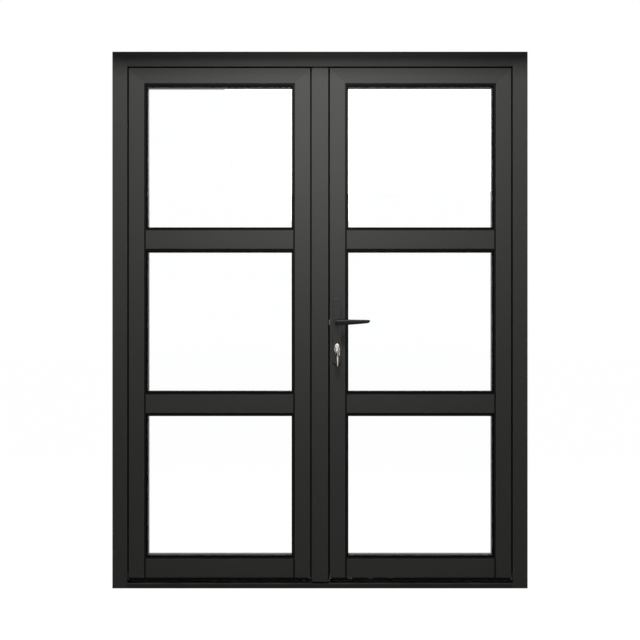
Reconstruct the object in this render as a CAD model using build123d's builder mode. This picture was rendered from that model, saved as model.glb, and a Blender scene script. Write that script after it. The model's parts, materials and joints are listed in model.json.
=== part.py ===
# Double-leaf glazed door in its aluminium frame, closed and unlocked.
# X runs along the width, Y from the outer side to the inner side, Z is up.
# The origin is on the floor, half way along the width, in the middle of the leaf's depth.
# Both leaves open inward. The right leaf has the lock, the left one the shoot bolts.
import os

from build123d import *

os.makedirs("parts", exist_ok=True)

# Driving dimensions in millimetres
DOOR_WIDTH = 1625.0
DOOR_HEIGHT = 2100.0
LEAF_DEPTH = 68.0
FRAME_DEPTH = 60.0
FRAME_FACE = 58.0
LEAF_FACE = 60.0
BOTTOM_RAIL_FACE = 73.0
MID_RAIL_FACE = 72.0
UPPER_RAIL_CENTRE = 1364.5
LOWER_RAIL_CENTRE = 722.0
ASTRAGAL_FACE = 65.0
ASTRAGAL_BOTTOM = 26.0
LEAF_GAP = 6.0
LEAF_BOTTOM = 42.0

# Sections of the aluminium profiles
WALL = 2.0
EDGE_ROUND = 1.2
LIP_WIDTH = 6.5
LIP_SETBACK = 5.0
LIP_THICKNESS = 3.0
GLASS_POCKET = 12.0
LAP_WIDTH = 14.0
LAP_THICKNESS = 5.5
BOTTOM_LAP = 12.0
CHAMBER_HALF = 9.0
WEB = 2.0
RAIL_SETBACK = 1.0

# Glass and what holds it
GASKET_SHOW = 6.0
GASKET_THICKNESS = 3.0
GASKET_BULGE = 2.0
PANE = 4.0
UNIT_THICKNESS = 24.0
GLASS_BITE = 16.5
SPACER_HEIGHT = 10.0
SPACER_INSET = 3.0
BEAD_WALL = 1.5
BEAD_BEVEL = 5.0
BEAD_MITRE_GAP = 0.2
PACKER_LENGTH = 80.0
PACKER_INSET = 90.0

# Threshold and seals
THRESHOLD_FRONT = 17.0
THRESHOLD_TOP = 22.0
THRESHOLD_RISE = 26.0
THRESHOLD_NOSE = 6.0
THRESHOLD_WALL = 2.5
SEAL_CLEARANCE = 0.4
FRAME_SEAL_WIDTH = 5.0
BRUSH_THICKNESS = 12.0
BRUSH_CENTRE = 4.0
FIN_THICKNESS = 5.0
FIN_CENTRE = 20.0
BRIDGE_THICKNESS = 10.0
BRIDGE_CENTRE = 5.0
END_CAP = 2.0

# Hinges
HINGE_HEIGHTS = (250.0, 1050.0, 1790.0)
HINGE_LENGTH = 110.0
KNUCKLE_RADIUS = 9.0
MIDDLE_KNUCKLE = 40.0
KNUCKLE_GAP = 0.4
PIN_RADIUS = 5.0
PIN_CLEARANCE = 0.05
PIN_HEAD = 4.0
HINGE_STANDOFF = 10.0
HINGE_OVERHANG = 2.0
HINGE_PLATE = 4.0
FRAME_PLATE_WIDTH = 34.0
LEAF_PLATE_WIDTH = 36.0

# Wall fixings through the jambs
FIXING_RADIUS = 4.0
FIXING_COUNT = 4
FIXING_SPACING = 560.0

# Handle set
SPINDLE_X = 66.5
SPINDLE_Z = 1041.0
CYLINDER_DROP = 92.4
PLATE_WIDTH = 33.0
PLATE_LENGTH = 260.0
PLATE_ABOVE_SPINDLE = 94.8
PLATE_THICKNESS = 8.0
PLATE_EDGE = 2.5
NECK_RADIUS = 9.0
NECK_CLEARANCE = 0.3
LEVER_STANDOFF = 44.0
LEVER_LENGTH = 127.0
LEVER_ROOT_HEIGHT = 23.0
LEVER_ROOT_DEPTH = 15.0
LEVER_TIP_HEIGHT = 12.0
LEVER_TIP_DEPTH = 10.0
LEVER_END_ROUND = 9.0
SPINDLE_SQUARE = 8.0
SPINDLE_HOLE = 8.0
PLATE_SCREW_RADIUS = 2.5
PLATE_SCREW_HEAD = 4.5
PLATE_SCREW_RISE = 75.0
PLATE_SCREW_DROP = 145.0

# Profile cylinder, key and ring
BARREL_RADIUS = 8.5
CYLINDER_LEG_WIDTH = 10.0
CYLINDER_HEIGHT = 33.0
CYLINDER_PROUD = 2.0
CYLINDER_CLEARANCE = 0.3
PLUG_RADIUS = 6.5
PLUG_CLEARANCE = 0.05
PLUG_LENGTH = 30.0
KEY_THICKNESS = 2.4
KEY_BLADE = 7.8
KEY_BLADE_LENGTH = 26.0
KEYWAY_CLEARANCE = 0.1
KEY_BOW = 25.0
KEY_BOW_DEPTH = 22.0
KEY_NECK = 5.0
KEY_HOLE_RADIUS = 4.0
KEY_HOLE_FROM_END = 6.5
RING_RADIUS = 10.0
RING_WIRE = 1.0
SPARE_KEY_LENGTH = 60.0
SPARE_KEY_TURNS = (30.0, 24.0)
SPARE_KEY_TILTS = (5.0, -8.0)
SPARE_KEY_OFFSETS = (2.4, -2.4)

# Lock case and bolts
CASE_DEPTH = 41.0
CASE_THICKNESS = 16.0
CASE_WALL = 1.5
CASE_ABOVE = 45.0
CASE_BELOW = 135.0
FACEPLATE = 3.0
FACEPLATE_WIDTH = 17.6
FACEPLATE_MARGIN = 35.0
BOLT_CLEARANCE = 0.3
LATCH_HEIGHT = 20.0
LATCH_THICKNESS = 10.0
LATCH_PROUD = 11.0
LATCH_BODY = 7.0
DEADBOLT_Z = 1001.0
DEADBOLT_HEIGHT = 26.0
DEADBOLT_BODY = 30.0
STRIKE_MARGIN = 18.0
STRIKE_THICKNESS = 1.5
STRIKE_CLEARANCE = 1.5

# Shoot bolts of the left leaf
SHOOT_RADIUS = 4.0
SHOOT_CLEARANCE = 0.3
SHOOT_LENGTH = 180.0
SHOOT_GUIDE_LENGTH = 120.0
SHOOT_GUIDE_WIDTH = 16.0
TOP_THROW = 14.0
BOTTOM_THROW = 28.0
KNOB_FROM_TIP = 172.0
KNOB_STEM_RADIUS = 3.0
KNOB_RADIUS = 9.0
KNOB_THICKNESS = 5.0
KNOB_GAP = 0.5
KEEP_LENGTH = 18.0
KEEP_WIDTH = 16.0

# Planes that several pieces share
OUTER = -LEAF_DEPTH / 2
INNER = LEAF_DEPTH / 2
FRAME_INNER = OUTER + FRAME_DEPTH
HALF_WIDTH = DOOR_WIDTH / 2
JAMB_EDGE = HALF_WIDTH - FRAME_FACE
HEAD_EDGE = DOOR_HEIGHT - FRAME_FACE
LEAF_EDGE = JAMB_EDGE - LEAF_GAP
LEAF_TOP = HEAD_EDGE - LEAF_GAP
ASTRAGAL_HALF = ASTRAGAL_FACE / 2
MEETING_EDGE = ASTRAGAL_HALF + LEAF_GAP
LAP_FACE = INNER - LAP_THICKNESS
TUBE_WIDTH = LEAF_FACE - GLASS_POCKET
SIGHT = LIP_WIDTH + GASKET_SHOW
LIP_FRONT = OUTER + LIP_SETBACK
LIP_BACK = LIP_FRONT + LIP_THICKNESS
GLASS_FRONT = LIP_BACK + GASKET_THICKNESS
GLASS_BACK = GLASS_FRONT + UNIT_THICKNESS
BEAD_FRONT = GLASS_BACK + GASKET_THICKNESS
HINGE_X = JAMB_EDGE + LAP_WIDTH - LEAF_GAP + HINGE_OVERHANG
HINGE_Y = INNER + HINGE_STANDOFF
CYLINDER_Z = SPINDLE_Z - CYLINDER_DROP
PLATE_CENTRE_Z = SPINDLE_Z + PLATE_ABOVE_SPINDLE - PLATE_LENGTH / 2
PLATE_FACE = INNER + PLATE_THICKNESS
CASE_FRONT = MEETING_EDGE + FACEPLATE
CASE_BACK = CASE_FRONT + CASE_DEPTH
SHOOT_X = -MEETING_EDGE - TUBE_WIDTH / 2
RING_TOP_Z = CYLINDER_Z - (KEY_HOLE_RADIUS - RING_WIRE) * 0.9
KEY_HOLE_Y = -PLATE_FACE - CYLINDER_PROUD - KEY_NECK - KEY_BOW_DEPTH + KEY_HOLE_FROM_END

SIDES = {"left": -1, "right": 1}
# Each shoot bolt: the height of its tip, which way it runs from there, and its throw
SHOOT_BOLTS = {
    "top": (LEAF_TOP, -1, TOP_THROW),
    "bottom": (LEAF_BOTTOM, 1, BOTTOM_THROW),
}
LITES = {
    "lower": (LEAF_BOTTOM + BOTTOM_RAIL_FACE, LOWER_RAIL_CENTRE - MID_RAIL_FACE / 2),
    "middle": (LOWER_RAIL_CENTRE + MID_RAIL_FACE / 2, UPPER_RAIL_CENTRE - MID_RAIL_FACE / 2),
    "upper": (UPPER_RAIL_CENTRE + MID_RAIL_FACE / 2, LEAF_TOP - LEAF_FACE),
}


def save(builder, node):
    """Label a finished sub-part and write it to its own file."""
    builder.part.label = node
    export_step(builder.part, f"parts/{node}.step")


def upright(edge, low, high, inward):
    """Plane of an upright bar. Local x runs inward from its edge and local y is the depth."""
    base = low if inward > 0 else high
    return Plane(origin=(edge, 0, base), x_dir=(inward, 0, 0), z_dir=(0, 0, inward))


def level(edge, left, right, inward):
    """Plane of a level bar. Local x runs inward, up or down, and local y is the depth."""
    start = right if inward > 0 else left
    return Plane(origin=(start, 0, edge), x_dir=(0, 0, inward), z_dir=(-inward, 0, 0))


def mitre(corner_x, corner_z, inward, downward=1):
    """Plane of a 45 degree mitre at a corner. Its normal points to the upright bar's side."""
    return Plane(origin=(corner_x, 0, corner_z), x_dir=(0, 1, 0), z_dir=(-inward, 0, -downward))


def facing(x, y, z):
    """Upright plane with local x along X and local y along Z. It looks out of the door."""
    return Plane(origin=(x, y, z), x_dir=(1, 0, 0), z_dir=(0, -1, 0))


def chambers(start, end, front, back):
    """Cut the three hollow chambers of a tube in the open sketch."""
    for low, high in (
        (front + WALL, -CHAMBER_HALF - WEB),
        (-CHAMBER_HALF, CHAMBER_HALF),
        (CHAMBER_HALF + WEB, back - WALL),
    ):
        with Locations(((start + end) / 2, (low + high) / 2)):
            Rectangle(end - start - 2 * WALL, high - low, mode=Mode.SUBTRACT)


def pocket_chamber(tube, face):
    """Cut the small chamber behind the face that covers the glass pocket."""
    with Locations(((tube + face) / 2, (OUTER + LIP_BACK) / 2)):
        Rectangle(abs(face - tube) - 2 * WALL, LIP_BACK - OUTER - 2 * WALL, mode=Mode.SUBTRACT)


def frame_profile(plane):
    """Section of the outer frame: a three-chamber tube with rounded outer edges."""
    with BuildSketch(plane) as section:
        with Locations((-FRAME_FACE / 2, (OUTER + FRAME_INNER) / 2)):
            Rectangle(FRAME_FACE, FRAME_DEPTH)
        fillet(section.vertices().group_by(Axis.Y)[0], EDGE_ROUND)
        chambers(-FRAME_FACE, 0, OUTER, FRAME_INNER)
    return section.sketch


def leaf_profile(plane, face, lap):
    """Section of a leaf member: tube, face with a stepped lip, and a lap over the frame inside."""
    tube = face - GLASS_POCKET
    outline = [
        (0, OUTER),
        (face, OUTER),
        (face, LIP_FRONT),
        (face + LIP_WIDTH, LIP_FRONT),
        (face + LIP_WIDTH, LIP_BACK),
        (tube, LIP_BACK),
        (tube, INNER),
    ]
    outline += [(-lap, INNER), (-lap, LAP_FACE), (0, LAP_FACE)] if lap else [(0, INNER)]
    with BuildSketch(plane) as section:
        with BuildLine():
            Polyline(*outline, close=True)
        make_face()
        fillet(section.vertices().group_by(Axis.Y)[0], EDGE_ROUND)
        chambers(0, tube, OUTER, INNER)
        pocket_chamber(tube, face)
    return section.sketch


def mid_rail_profile(plane):
    """Section of a mid rail: a tube with a face and a stepped lip on both edges."""
    half = MID_RAIL_FACE / 2
    tube = half - GLASS_POCKET
    front = OUTER + RAIL_SETBACK
    upper = [
        (half, front),
        (half, LIP_FRONT),
        (half + LIP_WIDTH, LIP_FRONT),
        (half + LIP_WIDTH, LIP_BACK),
        (tube, LIP_BACK),
        (tube, INNER),
    ]
    lower = [(-x, y) for x, y in reversed(upper)]
    with BuildSketch(plane) as section:
        with BuildLine():
            Polyline(*upper, *lower, close=True)
        make_face()
        fillet(section.vertices().group_by(Axis.Y)[0], EDGE_ROUND)
        chambers(-tube, tube, front, INNER)
        for edge in (-1, 1):
            pocket_chamber(edge * tube, edge * half)
    return section.sketch


def stadium(plane, width, length):
    """A plate outline with full-round ends, standing upright."""
    with BuildSketch(plane) as outline:
        SlotOverall(length, width, rotation=90)
    return outline.sketch


def rect_ring(plane, size, outer_inset, inner_inset):
    """A flat rectangular ring, given by how far its edges lie inside a rectangle."""
    width, height = size
    with BuildSketch(plane) as outline:
        Rectangle(width - 2 * outer_inset, height - 2 * outer_inset)
        Rectangle(width - 2 * inner_inset, height - 2 * inner_inset, mode=Mode.SUBTRACT)
    return outline.sketch


def cylinder_profile(plane, clearance=0.0):
    """The profile cylinder's outline: a round barrel over a narrow leg."""
    with BuildSketch(plane) as outline:
        Circle(BARREL_RADIUS + clearance)
        leg_end = CYLINDER_HEIGHT - BARREL_RADIUS
        leg_round = CYLINDER_LEG_WIDTH / 2
        with Locations((0, -(leg_end - leg_round) / 2)):
            Rectangle(2 * (leg_round + clearance), leg_end - leg_round)
        with Locations((0, leg_round - leg_end)):
            Circle(leg_round + clearance)
    return outline.sketch


def box_between(low, high, mode=Mode.ADD):
    """A box given by its lowest and highest corners."""
    centre = [(a + b) / 2 for a, b in zip(low, high)]
    with Locations(tuple(centre)):
        Box(*[b - a for a, b in zip(low, high)], mode=mode)


# Outer frame: two jambs that stand on the floor, mitred to the head
for side, sign in SIDES.items():
    with BuildPart() as jamb:
        extrude(
            frame_profile(upright(sign * JAMB_EDGE, 0, DOOR_HEIGHT, -sign)), amount=DOOR_HEIGHT
        )
        split(bisect_by=mitre(sign * JAMB_EDGE, HEAD_EDGE, -sign), keep=Keep.TOP)
        for index in range(FIXING_COUNT):
            hole_z = DOOR_HEIGHT / 2 + (index - (FIXING_COUNT - 1) / 2) * FIXING_SPACING
            with BuildSketch(Plane(origin=(0, 0, hole_z), z_dir=(sign, 0, 0))):
                Circle(FIXING_RADIUS)
            extrude(amount=DOOR_WIDTH, mode=Mode.SUBTRACT)
    save(jamb, f"{side}_jamb")

with BuildPart() as head:
    extrude(frame_profile(level(HEAD_EDGE, -HALF_WIDTH, HALF_WIDTH, -1)), amount=DOOR_WIDTH)
    for sign in SIDES.values():
        split(bisect_by=mitre(sign * JAMB_EDGE, HEAD_EDGE, -sign), keep=Keep.BOTTOM)
    box_between(
        (SHOOT_X - KEEP_WIDTH / 2, -KEEP_WIDTH / 2, HEAD_EDGE),
        (SHOOT_X + KEEP_WIDTH / 2, KEEP_WIDTH / 2, HEAD_EDGE + WALL),
        mode=Mode.SUBTRACT,
    )
save(head, "head")

# Threshold: a low hollow sill between the jambs, with a nose that slopes up to its tread
with BuildPart() as threshold:
    with BuildSketch(Plane(origin=(-JAMB_EDGE, 0, 0), x_dir=(0, 1, 0), z_dir=(1, 0, 0))) as sill:
        with BuildLine():
            Polyline(
                (OUTER, 0),
                (OUTER, THRESHOLD_FRONT),
                (OUTER + THRESHOLD_RISE, THRESHOLD_TOP),
                (FRAME_INNER - THRESHOLD_NOSE, THRESHOLD_TOP),
                (FRAME_INNER, THRESHOLD_TOP - THRESHOLD_NOSE),
                (FRAME_INNER, 0),
                close=True,
            )
        make_face()
        fillet(sill.vertices().group_by(Axis.X)[0].sort_by(Axis.Y)[-1], EDGE_ROUND)
        cavity_top = THRESHOLD_FRONT - THRESHOLD_WALL
        hollow = FRAME_DEPTH - 4 * THRESHOLD_WALL - KEEP_WIDTH
        for centre in (-1, 1):
            with Locations(
                ((OUTER + FRAME_INNER) / 2 + centre * (hollow + 2 * KEEP_WIDTH + 8) / 4, cavity_top / 2)
            ):
                Rectangle(hollow / 2, cavity_top - THRESHOLD_WALL, mode=Mode.SUBTRACT)
    extrude(amount=2 * JAMB_EDGE)
    with Locations((SHOOT_X, 0, THRESHOLD_TOP)):
        Hole(KEEP_WIDTH / 2, depth=KEEP_LENGTH)
save(threshold, "threshold")

# Flush sockets in the head and the threshold that take the shoot bolts
with BuildPart() as bolt_sockets:
    for base, length, shape in ((HEAD_EDGE, KEEP_LENGTH, "square"), (THRESHOLD_TOP, -KEEP_LENGTH, "round")):
        with BuildSketch(Plane.XY.offset(base)) as socket:
            with Locations((SHOOT_X, 0)):
                if shape == "square":
                    Rectangle(KEEP_WIDTH, KEEP_WIDTH)
                else:
                    Circle(KEEP_WIDTH / 2)
                Circle(SHOOT_RADIUS + 2 * SHOOT_CLEARANCE, mode=Mode.SUBTRACT)
        extrude(amount=length)
save(bolt_sockets, "bolt_sockets")

# Rubber seal on the inner side of the frame, under the lap of the leaves
with BuildPart() as frame_seal:
    seal_depth = LAP_FACE - SEAL_CLEARANCE - FRAME_INNER
    seal_edge = (LAP_WIDTH - LEAF_GAP - FRAME_SEAL_WIDTH) / 2
    for sign in SIDES.values():
        near = sign * (JAMB_EDGE + seal_edge)
        far = near + sign * FRAME_SEAL_WIDTH
        box_between(
            (min(near, far), FRAME_INNER, LEAF_BOTTOM),
            (max(near, far), FRAME_INNER + seal_depth, HEAD_EDGE + seal_edge),
        )
    box_between(
        (-JAMB_EDGE - seal_edge - FRAME_SEAL_WIDTH, FRAME_INNER, HEAD_EDGE + seal_edge),
        (
            JAMB_EDGE + seal_edge + FRAME_SEAL_WIDTH,
            FRAME_INNER + seal_depth,
            HEAD_EDGE + seal_edge + FRAME_SEAL_WIDTH,
        ),
    )
save(frame_seal, "frame_seal")


def hinge_spans():
    """Where the two frame knuckles and the leaf knuckle of each hinge start and end."""
    for height in HINGE_HEIGHTS:
        middle = MIDDLE_KNUCKLE / 2
        ends = middle + KNUCKLE_GAP
        frame_knuckles = [
            (height - HINGE_LENGTH / 2, height - ends),
            (height + ends, height + HINGE_LENGTH / 2),
        ]
        yield height, frame_knuckles, (height - middle, height + middle)


def knuckle(x, low, high, bore):
    """One knuckle with its pin bore, as sketches that are added and cut from the open part."""
    with BuildSketch(Plane.XY.offset(low)) as body:
        with Locations((x, HINGE_Y)):
            Circle(KNUCKLE_RADIUS)
            Circle(bore, mode=Mode.SUBTRACT)
    extrude(body.sketch, amount=high - low)


# Frame halves of the hinges: a plate on each jamb, stepped out to two knuckles
with BuildPart() as hinge_frame_halves:
    for sign in SIDES.values():
        axis_x = sign * HINGE_X
        root = axis_x + sign * (KNUCKLE_RADIUS - HINGE_PLATE)
        for height, frame_knuckles, leaf_knuckle in hinge_spans():
            plate_end = root + sign * FRAME_PLATE_WIDTH
            box_between(
                (min(root, plate_end), FRAME_INNER, height - HINGE_LENGTH / 2),
                (max(root, plate_end), FRAME_INNER + HINGE_PLATE, height + HINGE_LENGTH / 2),
            )
            for low, high in frame_knuckles:
                knuckle(axis_x, low, high, PIN_RADIUS + PIN_CLEARANCE / 2)
                web_end = root + sign * HINGE_PLATE
                box_between(
                    (min(root, web_end), FRAME_INNER, low), (max(root, web_end), HINGE_Y, high)
                )
                with BuildSketch(Plane.XY.offset(low)) as bore:
                    with Locations((axis_x, HINGE_Y)):
                        Circle(PIN_RADIUS + PIN_CLEARANCE / 2)
                extrude(bore.sketch, amount=high - low, mode=Mode.SUBTRACT)
save(hinge_frame_halves, "hinge_frame_halves")

# Hinge pins with domed heads
with BuildPart() as hinge_pins:
    for sign in SIDES.values():
        for height in HINGE_HEIGHTS:
            with BuildSketch(facing(sign * HINGE_X, HINGE_Y, height)):
                with BuildLine():
                    half = HINGE_LENGTH / 2
                    Polyline(
                        (0, -half - PIN_HEAD),
                        (PIN_RADIUS, -half - PIN_HEAD),
                        (KNUCKLE_RADIUS - 1, -half - 1),
                        (KNUCKLE_RADIUS - 1, -half),
                        (PIN_RADIUS, -half),
                        (PIN_RADIUS, half),
                        (KNUCKLE_RADIUS - 1, half),
                        (KNUCKLE_RADIUS - 1, half + 1),
                        (PIN_RADIUS, half + PIN_HEAD),
                        (0, half + PIN_HEAD),
                        close=True,
                    )
                make_face()
            revolve(axis=Axis((sign * HINGE_X, HINGE_Y, 0), (0, 0, 1)))
save(hinge_pins, "hinge_pins")

# The two leaves
for side, sign in SIDES.items():
    hinge_edge = sign * LEAF_EDGE
    meeting_edge = sign * MEETING_EDGE
    low_x, high_x = sorted((hinge_edge, meeting_edge))
    centre_x = (low_x + high_x) / 2
    leaf_width = high_x - low_x
    leaf_height = LEAF_TOP - LEAF_BOTTOM
    meeting_lap = LAP_WIDTH if side == "left" else 0

    with BuildPart() as hinge_stile:
        plane = upright(hinge_edge, LEAF_BOTTOM, LEAF_TOP + LAP_WIDTH, -sign)
        extrude(leaf_profile(plane, LEAF_FACE, LAP_WIDTH), amount=leaf_height + LAP_WIDTH)
        split(bisect_by=mitre(hinge_edge, LEAF_TOP, -sign), keep=Keep.TOP)
    save(hinge_stile, f"{side}_hinge_stile")

    with BuildPart() as meeting_stile:
        plane = upright(meeting_edge, LEAF_BOTTOM, LEAF_TOP + LAP_WIDTH, sign)
        extrude(leaf_profile(plane, LEAF_FACE, meeting_lap), amount=leaf_height + LAP_WIDTH)
        split(bisect_by=mitre(meeting_edge, LEAF_TOP, sign), keep=Keep.TOP)
        if side == "right":
            # Mouth for the lock in the edge, and holes through both faces for the handle set
            box_between(
                (
                    MEETING_EDGE,
                    -FACEPLATE_WIDTH / 2,
                    SPINDLE_Z - CASE_BELOW - FACEPLATE_MARGIN,
                ),
                (
                    MEETING_EDGE + FACEPLATE,
                    FACEPLATE_WIDTH / 2,
                    SPINDLE_Z + CASE_ABOVE + FACEPLATE_MARGIN,
                ),
                mode=Mode.SUBTRACT,
            )
            through = facing(SPINDLE_X, INNER, SPINDLE_Z)
            with BuildSketch(through) as spindle_hole:
                Circle(SPINDLE_HOLE)
            extrude(spindle_hole.sketch, amount=LEAF_DEPTH, mode=Mode.SUBTRACT)
            cut = cylinder_profile(facing(SPINDLE_X, INNER, CYLINDER_Z), CYLINDER_CLEARANCE)
            extrude(cut, amount=LEAF_DEPTH, mode=Mode.SUBTRACT)
            for screw_z in (SPINDLE_Z + PLATE_SCREW_RISE, SPINDLE_Z - PLATE_SCREW_DROP):
                with BuildSketch(facing(SPINDLE_X, INNER, screw_z)) as screw_hole:
                    Circle(PLATE_SCREW_RADIUS + BOLT_CLEARANCE)
                extrude(screw_hole.sketch, amount=LEAF_DEPTH, mode=Mode.SUBTRACT)
        else:
            # Slots for the knobs of the shoot bolts, and room for the upper bolt's guide
            for bolt_tip, into, throw in SHOOT_BOLTS.values():
                knob_z = bolt_tip + into * KNOB_FROM_TIP
                thrown_z = knob_z - into * throw
                slot_half = KNOB_STEM_RADIUS + 2 * SHOOT_CLEARANCE
                box_between(
                    (SHOOT_X - slot_half, 0, min(knob_z, thrown_z) - slot_half),
                    (SHOOT_X + slot_half, INNER, max(knob_z, thrown_z) + slot_half),
                    mode=Mode.SUBTRACT,
                )
            box_between(
                (SHOOT_X - SHOOT_GUIDE_WIDTH / 2, -CHAMBER_HALF, LEAF_TOP - LEAF_FACE),
                (SHOOT_X + SHOOT_GUIDE_WIDTH / 2, CHAMBER_HALF, LEAF_TOP + LAP_WIDTH),
                mode=Mode.SUBTRACT,
            )
    save(meeting_stile, f"{side}_meeting_stile")

    with BuildPart() as top_rail:
        start, end = low_x - LAP_WIDTH, high_x + LAP_WIDTH
        extrude(
            leaf_profile(level(LEAF_TOP, start, end, -1), LEAF_FACE, LAP_WIDTH), amount=end - start
        )
        split(bisect_by=mitre(hinge_edge, LEAF_TOP, -sign), keep=Keep.BOTTOM)
        split(bisect_by=mitre(meeting_edge, LEAF_TOP, sign), keep=Keep.BOTTOM)
        if side == "right":
            box_between(
                (0, OUTER, LEAF_TOP - LEAF_FACE), (MEETING_EDGE, INNER, DOOR_HEIGHT), Mode.SUBTRACT
            )
        else:
            box_between(
                (SHOOT_X - SHOOT_GUIDE_WIDTH / 2, -CHAMBER_HALF, LEAF_TOP - LEAF_FACE),
                (SHOOT_X + SHOOT_GUIDE_WIDTH / 2, CHAMBER_HALF, LEAF_TOP),
                mode=Mode.SUBTRACT,
            )
    save(top_rail, f"{side}_top_rail")

    tube_start, tube_end = low_x + TUBE_WIDTH, high_x - TUBE_WIDTH
    notch = GLASS_POCKET + LIP_WIDTH
    rails = {
        "bottom_rail": leaf_profile(
            level(LEAF_BOTTOM, tube_start, tube_end, 1), BOTTOM_RAIL_FACE, BOTTOM_LAP
        ),
        "lower_mid_rail": mid_rail_profile(level(LOWER_RAIL_CENTRE, tube_start, tube_end, 1)),
        "upper_mid_rail": mid_rail_profile(level(UPPER_RAIL_CENTRE, tube_start, tube_end, 1)),
    }
    for rail_name, profile in rails.items():
        with BuildPart() as rail:
            extrude(profile, amount=tube_end - tube_start)
            for start in (tube_start, tube_end - notch):
                box_between((start, OUTER, 0), (start + notch, LIP_BACK, LEAF_TOP), Mode.SUBTRACT)
        save(rail, f"{side}_{rail_name}")

    # Sealed glass units: two panes each, on a spacer, between two gaskets
    opening_width = leaf_width - 2 * LEAF_FACE
    openings = {
        lite: (facing(centre_x, 0, (low + high) / 2), (opening_width, high - low))
        for lite, (low, high) in LITES.items()
    }
    glass_inset = SIGHT - GLASS_BITE
    for lite, (plane, (width, height)) in openings.items():
        with BuildPart() as glass:
            for pane_back in (GLASS_FRONT + PANE, GLASS_BACK):
                with BuildSketch(plane.offset(-pane_back)) as pane:
                    Rectangle(width - 2 * glass_inset, height - 2 * glass_inset)
                extrude(pane.sketch, amount=PANE)
        save(glass, f"{side}_{lite}_glass")

    with BuildPart() as spacers:
        for plane, size in openings.values():
            inset = glass_inset + SPACER_INSET
            outline = rect_ring(plane.offset(PANE - GLASS_BACK), size, inset, inset + SPACER_HEIGHT)
            extrude(outline, amount=UNIT_THICKNESS - 2 * PANE)
    save(spacers, f"{side}_glass_spacers")

    with BuildPart() as gaskets:
        for plane, size in openings.values():
            extrude(rect_ring(plane.offset(-GLASS_FRONT), size, 0, SIGHT), amount=GASKET_THICKNESS)
            bulge = rect_ring(plane.offset(-LIP_BACK), size, LIP_WIDTH, SIGHT)
            extrude(bulge, amount=GASKET_BULGE)
            extrude(rect_ring(plane.offset(-BEAD_FRONT), size, 0, SIGHT), amount=GASKET_THICKNESS)
    save(gaskets, f"{side}_glazing_gaskets")

    # Glazing beads on the inner side: four mitred lengths of a bent channel for each lite
    bead_depth = GLASS_POCKET + SIGHT
    bend = BEAD_WALL * (2**0.5 - 1)
    bead_points = [
        (0, INNER),
        (bead_depth - BEAD_BEVEL, INNER),
        (bead_depth, INNER - BEAD_BEVEL),
        (bead_depth, BEAD_FRONT),
        (bead_depth - BEAD_WALL, BEAD_FRONT),
        (bead_depth - BEAD_WALL, INNER - BEAD_BEVEL - bend),
        (bead_depth - BEAD_BEVEL - bend, INNER - BEAD_WALL),
        (0, INNER - BEAD_WALL),
    ]
    with BuildPart() as beads:
        for low, high in LITES.values():
            bottom, top = low - GLASS_POCKET, high + GLASS_POCKET
            for level_side, edge in ((1, bottom), (-1, top)):
                with BuildSketch(level(edge, tube_start, tube_end, level_side)) as bead_section:
                    with BuildLine():
                        Polyline(*bead_points, close=True)
                    make_face()
                stick = extrude(
                    bead_section.sketch, amount=tube_end - tube_start, mode=Mode.PRIVATE
                )
                for inward, end in ((1, tube_start), (-1, tube_end)):
                    cut = mitre(end + inward * BEAD_MITRE_GAP, edge, inward, -level_side)
                    stick = split(stick, bisect_by=cut, keep=Keep.BOTTOM, mode=Mode.PRIVATE)
                add(stick)
            for inward, edge in ((1, tube_start), (-1, tube_end)):
                with BuildSketch(upright(edge, bottom, top, inward)) as bead_section:
                    with BuildLine():
                        Polyline(*bead_points, close=True)
                    make_face()
                stick = extrude(bead_section.sketch, amount=top - bottom, mode=Mode.PRIVATE)
                for level_side, end in ((1, bottom), (-1, top)):
                    cut = mitre(edge, end + level_side * BEAD_MITRE_GAP, inward, -level_side)
                    stick = split(stick, bisect_by=cut, keep=Keep.TOP, mode=Mode.PRIVATE)
                add(stick)
    save(beads, f"{side}_glazing_beads")

    # Packers that carry the glass on the rail below it
    with BuildPart() as packers:
        for low, high in LITES.values():
            for packer_x in (low_x + LEAF_FACE + PACKER_INSET, high_x - LEAF_FACE - PACKER_INSET):
                box_between(
                    (packer_x - PACKER_LENGTH / 2, GLASS_FRONT, low - GLASS_POCKET),
                    (packer_x + PACKER_LENGTH / 2, GLASS_BACK, low + glass_inset),
                )
    save(packers, f"{side}_glass_packers")

    with BuildPart() as bottom_seal:
        brush_ends = sorted((sign * (JAMB_EDGE - SEAL_CLEARANCE), meeting_edge))
        box_between(
            (brush_ends[0], BRUSH_CENTRE - BRUSH_THICKNESS / 2, THRESHOLD_TOP + SEAL_CLEARANCE),
            (brush_ends[1], BRUSH_CENTRE + BRUSH_THICKNESS / 2, LEAF_BOTTOM),
        )
        if side == "left":
            # A lower length runs on to the cover bar, under the bridge that carries it
            box_between(
                (
                    -MEETING_EDGE,
                    BRUSH_CENTRE - BRUSH_THICKNESS / 2,
                    THRESHOLD_TOP + SEAL_CLEARANCE,
                ),
                (
                    -ASTRAGAL_HALF,
                    BRUSH_CENTRE + BRUSH_THICKNESS / 2,
                    ASTRAGAL_BOTTOM + END_CAP,
                ),
            )
            with BuildSketch(Plane.XY.offset(THRESHOLD_TOP)) as bolt_path:
                with Locations((SHOOT_X, 0)):
                    Circle(SHOOT_RADIUS + SHOOT_CLEARANCE)
            extrude(bolt_path.sketch, amount=LEAF_BOTTOM - THRESHOLD_TOP, mode=Mode.SUBTRACT)
    save(bottom_seal, f"{side}_bottom_seal")

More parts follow.
